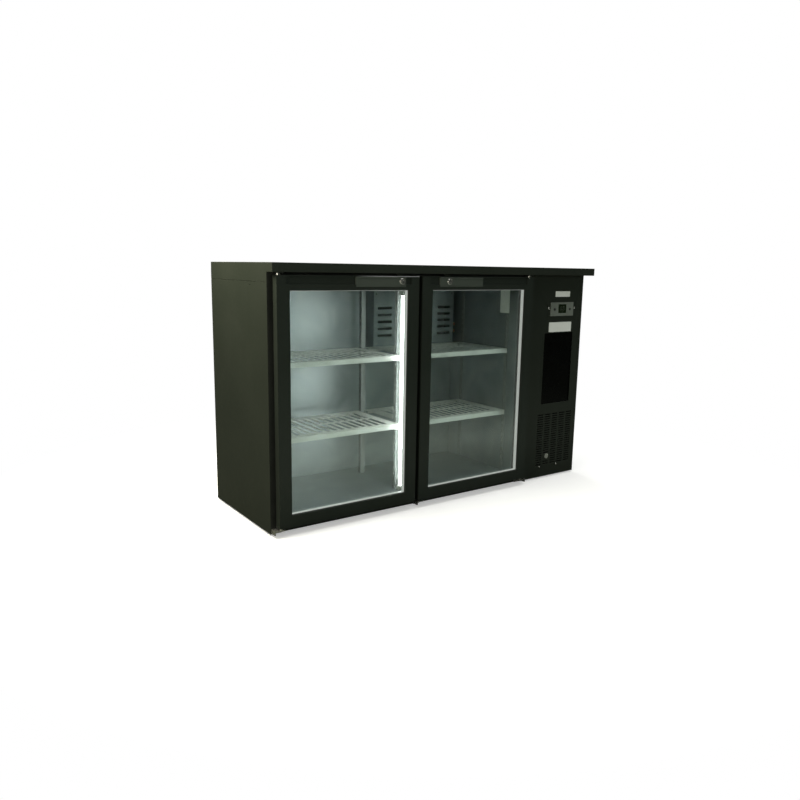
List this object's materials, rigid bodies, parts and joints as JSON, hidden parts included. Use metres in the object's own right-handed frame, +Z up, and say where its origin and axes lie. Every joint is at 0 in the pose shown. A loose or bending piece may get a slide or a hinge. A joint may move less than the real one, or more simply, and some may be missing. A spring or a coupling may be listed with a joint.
{
  "type": "under counter fridge",
  "caption": "Black back-bar bottle cooler with two framed glass doors, lit shelved interior, overhanging worktop and a side machine bay behind a slotted panel.",
  "frame": {"origin": "centre of the footprint on the floor, below the middle of the worktop", "axes": "+X to the right as one faces the doors, +Y from the doors to the back, +Z up"},
  "size_m": [1.5, 0.51, 0.9],
  "materials": {
    "black_coated_steel": "satin",
    "worktop_board": "matte",
    "galvanised_steel": "satin",
    "foam": "matte",
    "liner_aluminium": "satin",
    "black_plastic": "matte",
    "black_gloss_plastic": "gloss",
    "white_enamel": "satin",
    "lamp_glass": "gloss",
    "bright_steel": "polished",
    "coil_aluminium": "satin",
    "motor_steel": "satin",
    "compressor_black": "gloss",
    "mount_rubber": "matte",
    "condenser_black": "satin",
    "copper": "satin",
    "grey_plastic": "matte",
    "silver_plastic": "satin",
    "blank_plate": "satin",
    "door_black_aluminium": "satin",
    "glass": "gloss",
    "spacer_aluminium": "satin",
    "gasket_rubber": "matte",
    "grip_grey": "satin"
  },
  "bodies": {
    "cabinet": {"worktop_skin": "black_coated_steel", "worktop_core": "worktop_board", "left_side_panel": "black_coated_steel", "right_side_panel": "black_coated_steel", "rear_panel": "galvanised_steel", "base_pan": "galvanised_steel", "levelling_feet": "black_plastic", "insulation_foam": "foam", "interior_liner": "liner_aluminium", "front_frame": "black_plastic", "centre_mullion": "black_plastic", "lamp_batten": "white_enamel", "lamp_tube": "lamp_glass", "shelf_uprights": "white_enamel", "shelf_clips": "bright_steel", "shelf_upper_left": "white_enamel", "shelf_lower_left": "white_enamel", "shelf_upper_right": "white_enamel", "shelf_lower_right": "white_enamel", "evaporator_coil": "coil_aluminium", "evaporator_cover": "liner_aluminium", "fan_motors": "motor_steel", "drip_tray": "liner_aluminium", "divider_panel": "galvanised_steel", "machine_tray": "galvanised_steel", "compressor": "compressor_black", "compressor_mounts": "mount_rubber", "condenser": "condenser_black", "condenser_shroud": "galvanised_steel", "refrigerant_lines": "copper", "evaporation_pan": "black_plastic", "electrical_box": "grey_plastic", "mains_inlet": "black_plastic", "service_panel": "black_coated_steel", "panel_screws": "bright_steel", "inset_cover": "black_gloss_plastic", "controller_bezel": "silver_plastic", "controller_display": "black_gloss_plastic", "blank_plates": "blank_plate", "hinge_brackets": "bright_steel", "lock_keeps": "black_coated_steel"},
    "door_left": {"door_left_frame": "door_black_aluminium", "door_left_panes": "glass", "door_left_spacer": "spacer_aluminium", "door_left_gasket": "gasket_rubber", "door_left_grip": "grip_grey", "door_left_lock_rose": "bright_steel"},
    "door_right": {"door_right_frame": "door_black_aluminium", "door_right_panes": "glass", "door_right_spacer": "spacer_aluminium", "door_right_gasket": "gasket_rubber", "door_right_grip": "grip_grey", "door_right_lock_rose": "bright_steel"},
    "left_lock": {"door_left_lock": "bright_steel"},
    "right_lock": {"door_right_lock": "bright_steel"},
    "evaporator_fan": {"evaporator_fan": "black_plastic"},
    "condenser_fan": {"condenser_fan": "coil_aluminium"},
    "button_left": {"controller_button_left": "black_plastic"},
    "button_right": {"controller_button_right": "black_plastic"},
    "panel_lock": {"panel_lock": "bright_steel"}
  },
  "joints": [
    {"name": "door_left_hinge", "type": "hinge", "parent": "cabinet", "child": "door_left", "pos_m": [-0.722, -0.2385, 0], "axis": [0, 0, -1], "range_deg": [0, 105]},
    {"name": "door_right_hinge", "type": "hinge", "parent": "cabinet", "child": "door_right", "pos_m": [0.378, -0.2385, 0], "axis": [0, 0, 1], "range_deg": [0, 105]},
    {"name": "left_lock_turn", "type": "hinge", "parent": "door_left", "child": "left_lock", "pos_m": [-0.253, -0.24, 0.843], "axis": [0, 1, 0], "range_deg": [0, 90]},
    {"name": "right_lock_turn", "type": "hinge", "parent": "door_right", "child": "right_lock", "pos_m": [-0.04, -0.24, 0.843], "axis": [0, -1, 0], "range_deg": [0, 90]},
    {"name": "evaporator_fan_spin", "type": "hinge", "parent": "cabinet", "child": "evaporator_fan", "pos_m": [0.1, 0.163, 0.69], "axis": [0, 1, 0], "continuous": true},
    {"name": "condenser_fan_spin", "type": "hinge", "parent": "cabinet", "child": "condenser_fan", "pos_m": [0.558, -0.093, 0.16], "axis": [0, 1, 0], "continuous": true},
    {"name": "button_left_push", "type": "slide", "parent": "cabinet", "child": "button_left", "axis": [0, 1, 0], "range_m": [0, 0.001], "stiffness_N_per_m": 400},
    {"name": "button_right_push", "type": "slide", "parent": "cabinet", "child": "button_right", "axis": [0, 1, 0], "range_m": [0, 0.001], "stiffness_N_per_m": 400},
    {"name": "panel_lock_turn", "type": "hinge", "parent": "cabinet", "child": "panel_lock", "pos_m": [0.555, -0.21, 0.096], "axis": [0, 1, 0], "range_deg": [0, 90]}
  ]
}
